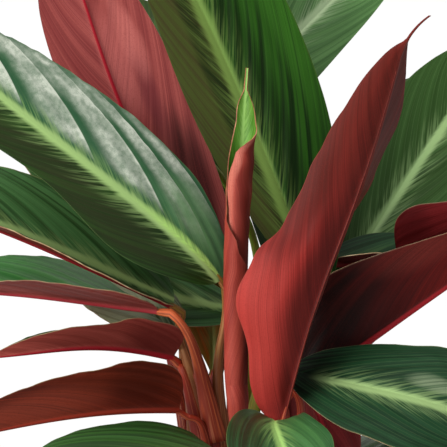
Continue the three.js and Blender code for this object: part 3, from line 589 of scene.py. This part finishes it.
UPPER_SIDES = {
    "usual": upper_side(
        "deep_green", "#203f18", "#3a672c", "#6f8f4c", "#6a7048", band_share=0.6),
    "dim": upper_side("dim_green", "#18361c", "#2b5632", "#6f8f4c", "#6a7048", band_share=0.6),
    "bronze": upper_side(
        "bronze_foot", "#24380c", "#3a5816", "#6f8f4c", "#6a7048", band_share=0.6,
        tones_and_painted_light=[("#8a4404", 0.0, 0.0, 0.3, 2.0, 1.0)]),
    # mid: the dark patch near the base of the right half is a painted shadow of the leaf above.
    "mid": upper_side(
        "mid_green", "#264820", "#457340", "#9cbc74", "#8a8a58", band_width=2.4,
        band_share=0.95, contrast=0.8, band_shift=3.0,
        tones_and_painted_light=[("#16300f", 0.08, 0.45, 0.12, 0.4, 0.8)]),
    # glossy, on leaf_left_broad: the pale pleat bands are a painted sheen and the lighter right half
    # is painted light; the left half is darkened to brownish olive, partly its own tone and partly
    # painted shade; the pale stretches by the midrib near the base are painted light.
    "glossy": upper_side(
        "glossy_green", "#18310c", "#2a4b18", "#a9cc80", "#5f7a48", band_width=2.8,
        band_share=0.95, gloss=0.22, halves=("#2f7048", 0.0, 0.6), painted_sheen=("#dbe3d4", 49, 397),
        slope=1.42, bend=1.18, veins=0.04, band_shift=-2.6, band_drift=5.6,
        tones_and_painted_light=[("#2e2e18", 0.45, -0.6, 0.45, 0.4, 0.6)],
        late_tones_and_painted_light=[("#72a46c", 0.12, 0.5, 0.17, 0.45, 0.62),
                    ("#c2f482", 0.1, 0.0, 0.2, 0.1, 0.85)]),
    # glossy_deep, on leaf_right_spreading: the near-black base is painted shade and the pale stretch
    # beside the midrib is a painted sheen; a darker stretch lies beside the midrib nearer the base.
    "glossy_deep": upper_side(
        "glossy_deep_green", "#10301a", "#20492b", "#a3c281", "#8f9a70",
        band_width=3.2, shine=0.5, gloss=0.14, contrast=0.55, band_shift=1.5, band_from=0.15,
        tones_and_painted_light=[("#040804", 0.0, 0.0, 0.15, 2.0, 1.0), ("#0c2212", 0.36, -0.3, 0.16, 0.2, 0.6),
               ("#8f9f80", 0.58, -0.32, 0.14, 0.15, 0.6)]),
    # translucent, on leaf_top_middle: the dark stretches beside the midrib are painted shade and the
    # brighter stretch by the right margin is painted light.
    "translucent": upper_side(
        "lit_green", "#0e2408", "#285414", "#76944a", "#4a5a2c", band_width=3.6,
        band_share=0.75, veins=0.05, contrast=0.7, gloss=0.07, halves=("#4e4628", 0.55, 0.0),
        band_shift=-3.6, band_drift=6.0,
        tones_and_painted_light=[("#0a1c04", 0.3, 0.26, 0.4, 0.26, 0.9), ("#10200a", 0.4, -0.32, 0.4, 0.18, 0.85),
               ("#386a20", 0.55, 0.95, 0.3, 0.3, 0.6)]),
    "young": upper_side(
        "young_green", "#467623", "#6a9434", "#a0ce70", "#b9b286", band_width=1.6,
        veins=0.3, tones_and_painted_light=[("#8cc454", 0.82, -0.4, 0.14, 0.7, 0.8)]),
    "level": upper_side(
        "level_green", "#2e702e", "#509a48", "#96c27c", "#8a9c62", band_width=2.4,
        band_share=0.7),
    # fresh, on leaf_front: the dark stretch on the right half is painted shade and the lighter stretch
    # on the left half painted light.
    "fresh": upper_side(
        "fresh_green", "#264e2c", "#3c7040", "#a0cc74", "#6a8a4c", band_width=2.4,
        band_share=0.95, contrast=0.3,
        tones_and_painted_light=[("#1a200c", 0.25, 0.72, 0.4, 0.45, 0.85),
               ("#5a9650", 0.35, -0.5, 0.4, 0.5, 0.42)]),
    "silvery": upper_side(
        "greyish_green", "#4c7840", "#74a662", "#cce8b6", "#8c9468", band_width=2.8,
        band_share=0.95, shine=0.42, band_shift=-0.7),
    # greyed: the darker base is painted shade where the shoots crowd.
    "greyed": upper_side(
        "greyed_green", "#98a07c", "#bcc8a4", "#c6d0b0", "#8c9468", band_from=0.3,
        tones_and_painted_light=[("#263c1a", 0.0, 0.0, 0.24, 2.0, 1.0)]),
    "shaded": upper_side(
        "shaded_green", "#2e4a1e", "#486c38", "#a2c484", "#6c7a4c", band_width=2.8,
        band_share=0.95, shine=0.42, gloss=0.2, halves=("#2c4e1a", 0.5, 0.0), band_shift=-1.6,
        band_drift=7.0),
}
UNDER_SIDES = {
    "usual": under_side("burgundy", "#551417", "#7e2829", "#8e2028", "#8a5a40"),
    "pale": under_side("pale_burgundy", "#6a2a28", "#9a4844", "#a03038", "#a97a5f"),
    # ruddy: the darker base is painted shade where the shoots crowd.
    "ruddy": under_side(
        "ruddy", "#8a3630", "#b2544c", "#a8202c", "#a0705a",
        tones_and_painted_light=[("#4a1010", 0.04, 0.0, 0.22, 2.0, 0.75)]),
    # rose, on leaf_top_left: the dark stretch low on the left half is a painted shadow of
    # leaf_left_broad, and the bright stretches on the left half are painted light.
    "rose": under_side(
        "rose_burgundy", "#74292b", "#a14e4a", "#960f22", "#8a5040", rib_width=0.85,
        tones_and_painted_light=[("#200806", 0.22, -0.55, 0.2, 0.42, 0.92), ("#cc706c", 0.57, -0.2, 0.14, 0.24, 0.6),
               ("#6a2830", 0.47, -0.48, 0.13, 0.15, 0.65),
               ("#d87c76", 0.63, -0.52, 0.12, 0.2, 0.55)]),
    # crimson, on leaf_unfurling: the dark stretches towards the tip, along the midrib and by the
    # margins are painted shade, partly also a browner tone towards the tip, and the bright stretch
    # near the base by the right margin is painted light.
    "crimson": under_side(
        "crimson", "#761b18", "#a4342f", "#84342c", "#8a4434", rib_width=0.75,
        threads=0.3,
        tones_and_painted_light=[("#4e1d12", 0.85, 0.3, 0.34, 1.6, 0.7), ("#4a1512", 0.52, 0.8, 0.2, 0.5, 0.8),
               ("#b83e38", 0.14, 0.85, 0.2, 0.5, 0.7), ("#3a160c", 0.75, -0.6, 0.3, 0.6, 0.7),
               ("#300a08", 0.25, 0.0, 0.5, 0.34, 0.85), ("#3a120c", 0.75, 0.1, 0.35, 0.4, 0.6),
               ("#4a1a12", 0.7, 0.9, 0.26, 0.5, 0.6)]),
    # coral, on leaf_rolled: the dark stretches at the left margin near the base and along the right
    # half are painted shade.
    "coral": under_side(
        "coral", "#822923", "#ac483c", "#8a3430", "#8a4a3a",
        tones_and_painted_light=[("#3a0e0a", 0.15, -1.0, 0.3, 0.3, 0.8), ("#541814", 0.5, 0.6, 0.5, 0.18, 0.7),
               ("#e08878", 0.6, 0.95, 0.4, 0.16, 0.7)]),
    "umber": under_side(
        "umber", "#46160b", "#7c2c1a", "#8a2c1c", "#70503a",
        tones_and_painted_light=[("#380d06", 0.2, -0.7, 0.14, 0.8, 0.6), ("#a04430", 0.62, -0.4, 0.28, 0.4, 0.4)]),
    # maroon: the darker base is painted shade where the shoots crowd.
    "maroon": under_side(
        "maroon", "#72191c", "#9e3034", "#9c2030", "#c49880",
        tones_and_painted_light=[("#3a080a", 0.04, 0.6, 0.16, 1.2, 0.7)]),
    # wine, on leaf_right_folded: the near-black base is a painted shadow of leaf_unfurling.
    "wine": under_side(
        "wine", "#450b0a", "#6a1512", "#a02028", "#c49880",
        tones_and_painted_light=[("#080101", 0.1, 0.6, 0.42, 1.8, 1.0), ("#080101", 0.16, 0.6, 0.2, 1.2, 0.9),
               ("#903c34", 0.58, 0.85, 0.14, 0.35, 0.4)]),
}
RIMS = {
    "usual": margin_finish("leaf_rim", "#8f7a58", "#7a4f3c"),
    "red": margin_finish("leaf_rim_red", "#bc7c58", "#8a4632"),
    "pale": margin_finish("leaf_rim_pale", "#cdb48c", "#a07858"),
}


# ---- leaves ----

def leaf_outline(u, base, tip):
    """Half-width share of a leaf at u: round base, long point, then the thin drip tip."""
    e = min(u / (1 - DRIP_TIP), 1)
    widest = base / (base + tip)
    return e**base * (1 - e)**tip / (widest**base * (1 - widest)**tip)


def leaf_axes(leaf, run, u):
    """Midrib point and the three directions there: ahead, across to the right, out of the face."""
    ahead = run.ahead(u)
    face = leaf["face"]
    if isinstance(face[0], list):
        face = [spread([f[k] for f in face], u) for k in range(3)]
    out = Vector(face)
    out = (out - ahead * out.dot(ahead)).normalized()
    hooked = max(0, (u - HOOKED_FROM) / (1 - HOOKED_FROM))**2
    at = run.at(u) + Vector(leaf.get("hook", (0, 0, 0))) * hooked
    return at, ahead, ahead.cross(out), out


def half_width(leaf, side, u):
    """How wide the half on that side is at u, -1 left and 1 right."""
    which = 0 if side < 0 else 1
    share = leaf_outline(u, leaf.get("base", BASE_ROUNDNESS), leaf.get("tip", TIP_ROUNDNESS))
    least = BASE_HALF * (1 - u) + TIP_HALF * u
    return max(spread(leaf["half"][which], u) * share, least)


def leaf_place(leaf, axes, u, side, a, half):
    """A point of the smooth upper face, and the direction out of it."""
    at, ahead, right, out = axes
    which = 0 if side < 0 else 1
    rise = math.radians(spread(leaf.get("rise", USUAL_RISE)[which], u))
    curl = math.radians(spread(leaf.get("curl", USUAL_CURL)[which], u))
    if abs(curl) < 0.001:
        curl = 0.001
    slope = rise + curl * a
    reach = half / curl * (math.sin(slope) - math.sin(rise))
    lift = -half / curl * (math.cos(slope) - math.cos(rise))
    sweep = leaf.get("lobe", 0) * a * a * (u / LOBE_AT) * math.exp(1 - u / LOBE_AT)
    point = at + right * (side * reach) + out * lift - ahead * sweep
    return point, right * (-side * math.sin(slope)) + out * math.cos(slope)


def pleat_lift(name, seed, length, away, half, side, u):
    """How far the pleats and folds lift the blade at a place."""
    height, spacing = PLEATS.get(name, (PLEAT_HEIGHT, PLEAT_SPACING))
    edge = away / half
    vein = length - away * (VEIN_SLOPE + edge * edge * VEIN_BEND)
    if side > 0:
        vein += VEIN_STAGGER
    turn = 2 * math.pi / spacing
    wave = 0.62 * math.sin(turn * vein + seed) + 0.38 * math.sin(turn * 1.71 * vein + 2.3 * seed)
    wave += 0.16 * math.sin(turn * 5.3 * vein + 1.1 * seed)
    lift = height * wave * ease(away, 1.5, 9) * min(1, half / 22)
    lift -= 0.35 * math.exp(-(away / 1.3)**2) * (1 - u)
    for which, middle, width, depth, start, end in FOLDS.get(name, ()):
        if which == side and half > 0:
            window = ease(u, start, start + 0.18) * (1 - ease(u, end - 0.18, end))
            lift -= depth * window * math.exp(-(((away / half) - middle) / width)**2)
    return lift


def build_blade(leaf, seed):
    """A blade: upper side, under side with the midrib standing out of it, and the rim. Its seed
    gives it pleats and a place in the noise of its own."""
    name = leaf["name"]
    run = Run(leaf["rib"])
    columns = 2 * BLADE_COLUMNS + 1
    upper, under, span, place = [], [], [], []
    length = 0
    before = run.at(0)
    for i in range(BLADE_ROWS + 1):
        u = (1 - math.cos(math.pi * i / BLADE_ROWS)) / 2
        axes = leaf_axes(leaf, run, u)
        length += (axes[0] - before).length
        before = axes[0]
        halves = {-1: half_width(leaf, -1, u), 1: half_width(leaf, 1, u)}
        for j in range(columns):
            step = j - BLADE_COLUMNS
            side = -1 if step < 0 else 1
            half = halves[side]
            a = (abs(step) / BLADE_COLUMNS)**COLUMN_CROWDING
            away = a * half
            point, normal = leaf_place(leaf, axes, u, side, a, half)
            if step == 0:
                normal = axes[3]
            point = point + normal * pleat_lift(name, seed, length, away, half, side, u)
            depth = PAPER + (RIB_DEPTH + 0.2) * (1 - u)**0.7 * math.exp(-(away / 1.05)**2)
            upper.append(point)
            under.append(point - normal * depth)
            span.append((length + MAP_STEP * seed, side * away))
            place.append((u, side * a))
    drop = len(upper)
    faces, which = [], []
    for i in range(BLADE_ROWS):
        for j in range(columns - 1):
            a = i * columns + j
            corners = (a, a + 1, a + columns + 1, a + columns)
            faces.append(corners)
            faces.append(tuple(c + drop for c in (corners[0], *reversed(corners[1:]))))
            which += [0, 1]
    last = BLADE_ROWS * columns
    ring = list(range(columns)) + [i * columns + columns - 1 for i in range(1, BLADE_ROWS + 1)]
    ring += [last + j for j in range(columns - 2, -1, -1)]
    ring += [i * columns for i in range(BLADE_ROWS - 1, 0, -1)]
    border = set()
    for k, p in enumerate(ring):
        q = ring[(k + 1) % len(ring)]
        faces.append((p, p + drop, q + drop, q))
        which.append(2)
        border |= {(p, q), (q, p), (p + drop, q + drop), (q + drop, p + drop)}
    finishes = [UPPER_SIDES[leaf.get("upper", "usual")], UNDER_SIDES[leaf.get("under", "usual")],
                RIMS[leaf.get("rim", "usual")]]
    blade = make_piece(name.replace("leaf_", "blade_"), upper + under, faces, finishes, which,
                       {"Span": span * 2, "Place": place * 2}, lambda p, q: (p, q) in border)
    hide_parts(name)


for number, leaf in enumerate(LEAVES):
    build_blade(leaf, 1 + number * 0.7)


# ---- stalks ----

def stalk_finish(name, top, low, streak, turned=0.85):
    """A juicy leaf stalk or its sheath, streaked lengthwise, changing from top to low; turned is
    the share of the way down at which it is all low."""
    finish = Finish(name, top)
    length, around = finish.map("Span")
    share = finish.map("Place")[0]
    streaks = finish.speckle(around * 2.4, length / 70, 1.0, detail=3)
    blotch = finish.speckle(around, length / 14, 6.0, detail=2)
    hairs = finish.speckle(around * 4.5, length / 80, 4.0, detail=3)
    fibres = finish.speckle(around * 8, length / 60, 8.0, detail=2)
    finish.paint(low, (share + (blotch - 0.5) * 0.5).step(0.0, turned))
    finish.paint(streak, streaks.step(0.46, 0.62) * 0.6)
    finish.paint(low, hairs.step(0.48, 0.6) * 0.75)
    finish.paint("#c8825c", fibres.step(0.56, 0.68) * 0.4)
    relief = finish.relief(streaks + hairs * 0.5, 0.3)
    return finish.surface(Roughness=streaks * 0.2 + 0.36, Normal=relief, Specular_IOR_Level=0.25)


STALKS = {
    "usual": stalk_finish("stalk_red_brown", "#a02a16", "#66160c", "#b2502c"),
    "coral": stalk_finish("stalk_coral", "#e06c3c", "#742616", "#c0643a", 0.6),
    "olive": stalk_finish("stalk_olive", "#9c7a30", "#6c3a1e", "#b07048"),
    "lime": stalk_finish("stalk_lime", "#6a922c", "#8a8a2c", "#4a6a20"),
}


def tube(centres, radii, flat, sides):
    """Points, faces and maps of a closed round stalk; flat widens it sideways."""
    points, faces, span, place = [], [], [], []
    across = Vector((0, 1, 0))
    length = 0
    for i, centre in enumerate(centres):
        ahead = (centres[min(i + 1, len(centres) - 1)] - centres[max(i - 1, 0)]).normalized()
        across = (across - ahead * across.dot(ahead)).normalized()
        other = ahead.cross(across)
        length += (centre - centres[max(i - 1, 0)]).length
        for k in range(sides):
            turn = 2 * math.pi * k / sides
            points.append(centre + across * (radii[i] * math.cos(turn))
                          + other * (radii[i] * flat[i] * math.sin(turn)))
            span.append((length, 3 + math.cos(turn) + 0.7 * math.sin(turn)))
            place.append((i / (len(centres) - 1), 0))
    for i in range(len(centres) - 1):
        for k in range(sides):
            a = i * sides + k
            b = i * sides + (k + 1) % sides
            faces.append((a, b, b + sides, a + sides))
    last = (len(centres) - 1) * sides
    faces.append(tuple(reversed(range(sides))))
    faces.append(tuple(range(last, last + sides)))
    return points, faces, span, place


def leaf_stalk(leaf):
    """The swollen neck behind the blade, the bend and the long stalk down into the sheath."""
    run = Run(leaf["rib"])
    at, ahead, _, out = leaf_axes(leaf, run, 0)
    base = at - out * (BLADE + 0.4 * RIB_DEPTH)
    radius = leaf.get("stalk_radius", STALK_RADIUS)
    foot = leaf.get("stalk_foot", radius * 1.9)
    tuck = math.radians(leaf.get("tuck", 12))
    down = -ahead * math.cos(tuck) - out * math.sin(tuck)
    bend = Run([base + down * 7, *leaf["stalk"]])
    centres = [run.at(0.035) - out * 1.3, run.at(0.015) - out * 1.5, base + down * 0.5,
               base + down * 3.5]
    radii = [0.7, 1.35, radius * 0.9, radius * 1.08]
    steps = 34
    for i in range(steps + 1):
        u = i / steps
        centres.append(bend.at(u))
        neck = 0.12 * math.exp(-(u / 0.10)**2)
        radii.append(radius * (1.0 + neck) + (foot - radius) * u * u)
    flat = [1] * 4 + [1 + 0.35 * ease(i / steps, 0.35, 1) for i in range(steps + 1)]
    return tube(centres, radii, flat, 20)


def sheath(shoot):
    """The sheath of a shoot, from its foot in the soil to where the stalks part."""
    run = Run(shoot["sheath"])
    x, y = shoot["at"]
    foot = SOIL_TOP - PLANTING_DEPTH + FIT_GAP
    centres = [Vector((x, y, foot)), Vector((x, y, foot + 12))]
    radius = shoot["radius"] * 0.97
    radii = [radius] * 2
    steps = 26
    for i in range(steps + 1):
        u = i / steps
        centres.append(run.at(u))
        radii.append(radius * (1 - u) + shoot["top"] * u)
    centres.append(run.at(1) + run.ahead(1) * 3)
    radii.append(shoot["top"] * 0.5)
    return tube(centres, radii, [1] * len(centres), 28)


def build_shoot(shoot):
    """A shoot's sheath and all its leaf stalks as one piece."""
    points, faces, which, span, place = [], [], [], [], []
    stems = [(sheath(shoot), 0)]
    looks = list(STALKS)
    for leaf in LEAVES:
        if leaf["shoot"] == shoot["name"]:
            stems.append((leaf_stalk(leaf), looks.index(leaf.get("stem", "usual"))))
    for (stem_points, stem_faces, stem_span, stem_place), look in stems:
        add_form(points, faces, stem_points, stem_faces)
        which += [look] * len(stem_faces)
        span += stem_span
        place += stem_place
    node = "stalks_" + shoot["name"]
    made = make_piece("stems_" + shoot["name"], points, faces, [STALKS[k] for k in looks], which,
                      {"Span": span, "Place": place})
    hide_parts(node)


for shoot in SHOOTS:
    build_shoot(shoot)


# ---- pot and soil ----

def pot_inside(z):
    """The radius of the pot's inside at that height, below the rim."""
    share = (z - POT_FLOOR) / (POT_HEIGHT - POT_RIM_HEIGHT - POT_FLOOR)
    return (POT_FOOT_RADIUS - POT_WALL) * (1 - share) + (POT_BODY_TOP_RADIUS - POT_WALL) * share


def pot_plastic():
    """Matt black nursery plastic, faintly grained and dusty."""
    finish = Finish("pot_matt_plastic", "#2a2725")
    grain = finish.grit(900, detail=3)
    dust = finish.grit(40, detail=4)
    finish.paint("#3a3633", grain.step(0.3, 0.7))
    finish.paint("#6a5b4c", dust.step(0.55, 0.8) * 0.25)
    return finish.surface(Roughness=dust * 0.2 + 0.42, Normal=finish.relief(grain, 0.12))


def potting_soil():
    """Dark peat with paler fibres and a few mineral grains."""
    finish = Finish("peat_soil", "#1d1410")
    crumbs = finish.grit(420, detail=5, roughness=0.7)
    lumps = finish.grit(90, detail=3)
    grains = finish.grit(260, detail=0, shift=9)
    finish.paint("#4b3626", crumbs.step(0.3, 0.7))
    finish.paint("#2c1f17", lumps.step(0.4, 0.7) * 0.6)
    finish.paint("#8d7f6c", grains.step(0.72, 0.76) * 0.8)
    return finish.surface(Roughness=crumbs * 0.1 + 0.86,
                          Normal=finish.relief(crumbs * 0.7 + lumps, 1.6))


def turned(profile, sides):
    """Points and faces turned about the upright axis; the profile starts and ends on it."""
    points = [(0, 0, profile[0][1])]
    for radius, z in profile[1:-1]:
        for k in range(sides):
            turn = 2 * math.pi * k / sides
            points.append((radius * math.cos(turn), radius * math.sin(turn), z))
    points.append((0, 0, profile[-1][1]))
    faces = []
    last = len(points) - 1 - sides
    for k in range(sides):
        n = (k + 1) % sides
        faces.append((0, 1 + n, 1 + k))
        for low in range(1, last, sides):
            faces.append((low + k, low + n, low + sides + n, low + sides + k))
        faces.append((last + k, last + n, last + sides))
    return points, faces


def rounded(profile, radius):
    """A profile with its corners rounded off."""
    steps = 4
    line = [profile[0]]
    for before, corner, after in zip(profile, profile[1:], profile[2:]):
        p, c, n = Vector(before), Vector(corner), Vector(after)
        cut = min(radius, (c - p).length * 0.45, (n - c).length * 0.45)
        start = c + (p - c).normalized() * cut
        end = c + (n - c).normalized() * cut
        for i in range(steps + 1):
            t = i / steps
            line.append(tuple(start * (1 - t)**2 + c * (2 * t * (1 - t)) + end * t * t))
    line.append(profile[-1])
    return line


def build_pot():
    """The pot, turned from its profile, with its drain holes cut through the floor."""
    rim_foot = POT_HEIGHT - POT_RIM_HEIGHT
    rim_inside = POT_RIM_RADIUS - POT_WALL
    profile = rounded([
        (0, 0), (POT_FOOT_RADIUS - 1, 0), (POT_FOOT_RADIUS, 1.5),
        (POT_BODY_TOP_RADIUS, rim_foot), (POT_RIM_RADIUS - 1.5, rim_foot + 1.5),
        (POT_RIM_RADIUS, POT_HEIGHT - 2), (POT_RIM_RADIUS - 1, POT_HEIGHT),
        (rim_inside - 1, POT_HEIGHT), (rim_inside - 2, rim_foot + 4),
        (pot_inside(rim_foot), rim_foot), (pot_inside(POT_FLOOR), POT_FLOOR), (0, POT_FLOOR)], 1.0)
    pot = make_piece("nursery_pot", *turned(profile, ROUND_SIDES), [pot_plastic()])
    bar = [(0, -1), (DRAIN_HOLE_RADIUS, -1), (DRAIN_HOLE_RADIUS, POT_FLOOR + 1), (0, POT_FLOOR + 1)]
    bar_points, bar_faces = turned(bar, 40)
    points, faces = [], []
    for k in range(DRAIN_HOLES):
        turn = 2 * math.pi * (k + 0.5) / DRAIN_HOLES
        x, y = DRAIN_CIRCLE_RADIUS * math.cos(turn), DRAIN_CIRCLE_RADIUS * math.sin(turn)
        add_form(points, faces, [(p[0] + x, p[1] + y, p[2]) for p in bar_points], bar_faces)
    cutter = put_in_scene("drain_cutter", new_mesh("drain_cutter", points, faces))
    cut = pot.modifiers.new("drain_holes", "BOOLEAN")
    cut.operation, cut.object, cut.solver = "DIFFERENCE", cutter, "EXACT"
    shape = bpy.data.meshes.new_from_object(pot.evaluated_get(bpy.context.evaluated_depsgraph_get()))
    pot.modifiers.clear()
    pot.data = shape
    shape.set_sharp_from_angle(angle=math.radians(35))
    bpy.data.objects.remove(cutter)
    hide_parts("pot")


def build_soil():
    """The soil: a crowned disc with crumbs on it, none of them where a shoot stands."""
    low = POT_FLOOR + FIT_GAP
    shoulder = POT_HEIGHT - POT_RIM_HEIGHT
    profile = [(0, low), (pot_inside(low) - FIT_GAP, low),
               (pot_inside(shoulder) - FIT_GAP, shoulder)]
    edge = pot_inside(shoulder) - FIT_GAP - 0.5
    rings = 44
    for i in range(rings):
        share = i / rings
        height = SOIL_TOP - SOIL_CROWN + SOIL_CROWN * ease(share, 0, 1)
        profile.append((edge * (1 - share), height))
    profile.append((0, SOIL_TOP))
    points, faces = turned(profile, ROUND_SIDES)
    rough = []
    for x, y, z in points:
        if z > shoulder + 1:
            grit = noise.fractal(Vector((x, y, 3)) * 0.16, 1.0, 2.0, 4)
            fine = noise.noise(Vector((x, y, 8)) * 0.8)
            z += 1.1 * grit + 0.5 * fine - SOIL_SUNK
        rough.append((x, y, z))
    chance = random.Random(11)
    for _ in range(CRUMBS):
        radius = edge * math.sqrt(chance.random()) * 0.97
        turn = chance.uniform(0, 2 * math.pi)
        x, y = radius * math.cos(turn), radius * math.sin(turn)
        size = chance.uniform(0.8, 2.6)
        if any(math.dist((x, y), s["at"]) < s["radius"] + size + 0.6 for s in SHOOTS):
            continue
        z = SOIL_TOP - SOIL_CROWN * ease(radius / edge, 0, 1) - SOIL_SUNK + size * 0.2
        crumb(rough, faces, Vector((x, y, z)), size, chance)
    soil = make_piece("soil_bed", rough, faces, [potting_soil()])
    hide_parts("soil")


def crumb(points, faces, centre, size, chance):
    """One lump of peat: a squashed, uneven ball."""
    squash = Vector((chance.uniform(0.7, 1.3), chance.uniform(0.7, 1.3), chance.uniform(0.5, 0.9)))
    rings, sides = 4, 8
    tilts = [math.pi * i / (rings + 1) for i in range(rings + 2)]
    ball, ball_faces = turned([(math.sin(t), -math.cos(t)) for t in tilts], sides)
    sizes = [size, *(size * chance.uniform(0.82, 1.12) for _ in ball[2:]), size]
    lump = [centre + Vector(p) * squash * r for p, r in zip(ball, sizes)]
    add_form(points, faces, lump, ball_faces)


build_pot()
build_soil()


# ---- floor, light and camera; places and lengths in metres ----

WARM_WHITE = (1.0, 0.99, 0.91)
CROWN = (0, 0, 0.36)
FLOOR_RADIUS = 1.1
ROOM_LIGHT = 0.45
BACKDROP = 1.02
CAMERA_TILT = math.radians(6)
CAMERA_AWAY = 1.5


def build_floor():
    """A pale round floor under the pot."""
    sides = 96
    radius = FLOOR_RADIUS / MM
    turns = [2 * math.pi * k / sides for k in range(sides)]
    mesh = new_mesh("floor", [(radius * math.cos(t), radius * math.sin(t), 0) for t in turns],
                    [tuple(range(sides))])
    finish = Finish("pale_floor", "#cfcfce")
    share = finish.grit(3, detail=2).step(0.3, 0.7)
    finish.paint("#d6d6d6", share)
    mesh.materials.append(finish.surface(Roughness=share * 0.1 + 0.6))
    floor = put_in_scene("floor", mesh)


def softbox(name, place, aim, size, power, mirrored=True):
    """A soft light; mirrored says whether glossy leaves show its reflection."""
    light = bpy.data.lights.new(name, "AREA")
    light.shape = "RECTANGLE"
    light.size, light.size_y = size
    light.energy = power
    light.color = WARM_WHITE
    box = put_in_scene(name, light)
    box.location = place
    box.rotation_euler = (Vector(aim) - Vector(place)).to_track_quat("-Z", "Y").to_euler()
    box.visible_glossy = mirrored


def build_room():
    """White all round, dimmer as light than as a backdrop."""
    world = bpy.data.worlds.new("white_room")
    bpy.context.scene.world = world
    world.use_nodes = True
    nodes, links = world.node_tree.nodes, world.node_tree.links
    nodes.clear()
    seen = nodes.new("ShaderNodeLightPath")
    strength = nodes.new("ShaderNodeMath")
    strength.operation = "MULTIPLY_ADD"
    strength.inputs[1].default_value = BACKDROP - ROOM_LIGHT
    strength.inputs[2].default_value = ROOM_LIGHT
    links.new(seen.outputs["Is Camera Ray"], strength.inputs[0])
    shade = nodes.new("ShaderNodeBackground")
    shade.inputs["Color"].default_value = (1, 1, 1, 1)
    links.new(strength.outputs[0], shade.inputs["Strength"])
    end = nodes.new("ShaderNodeOutputWorld")
    links.new(shade.outputs["Background"], end.inputs["Surface"])


def build_camera():
    """Looks down a little at the crown of the plant, 250 mm of it across the frame."""
    lens = bpy.data.cameras.new("camera")
    lens.sensor_width = 36
    lens.lens = 216
    lens.clip_start = 0.05
    camera = put_in_scene("camera", lens)
    back = Vector((0, -math.cos(CAMERA_TILT), math.sin(CAMERA_TILT)))
    camera.location = Vector(CROWN) + back * CAMERA_AWAY
    camera.rotation_euler = (math.radians(90) - CAMERA_TILT, 0, 0)
    bpy.context.scene.camera = camera


build_floor()
build_room()
softbox("key_softbox", (-1.3, -1.1, 0.95), CROWN, (0.7, 0.7), 14)
softbox("top_softbox", (-0.5, -0.5, 1.8), CROWN, (0.9, 0.6), 8)
softbox("left_softbox", (-1.7, -0.4, 0.6), CROWN, (1.6, 1.3), 19, mirrored=False)
softbox("low_softbox", (-1.1, -1.4, 0.06), CROWN, (0.8, 0.6), 6)
softbox("back_fill", (0.2, 1.6, 1.5), (0, 0, 0.35), (1.2, 0.8), 4)
build_camera()
bpy.context.scene.view_settings.view_transform = "Standard"
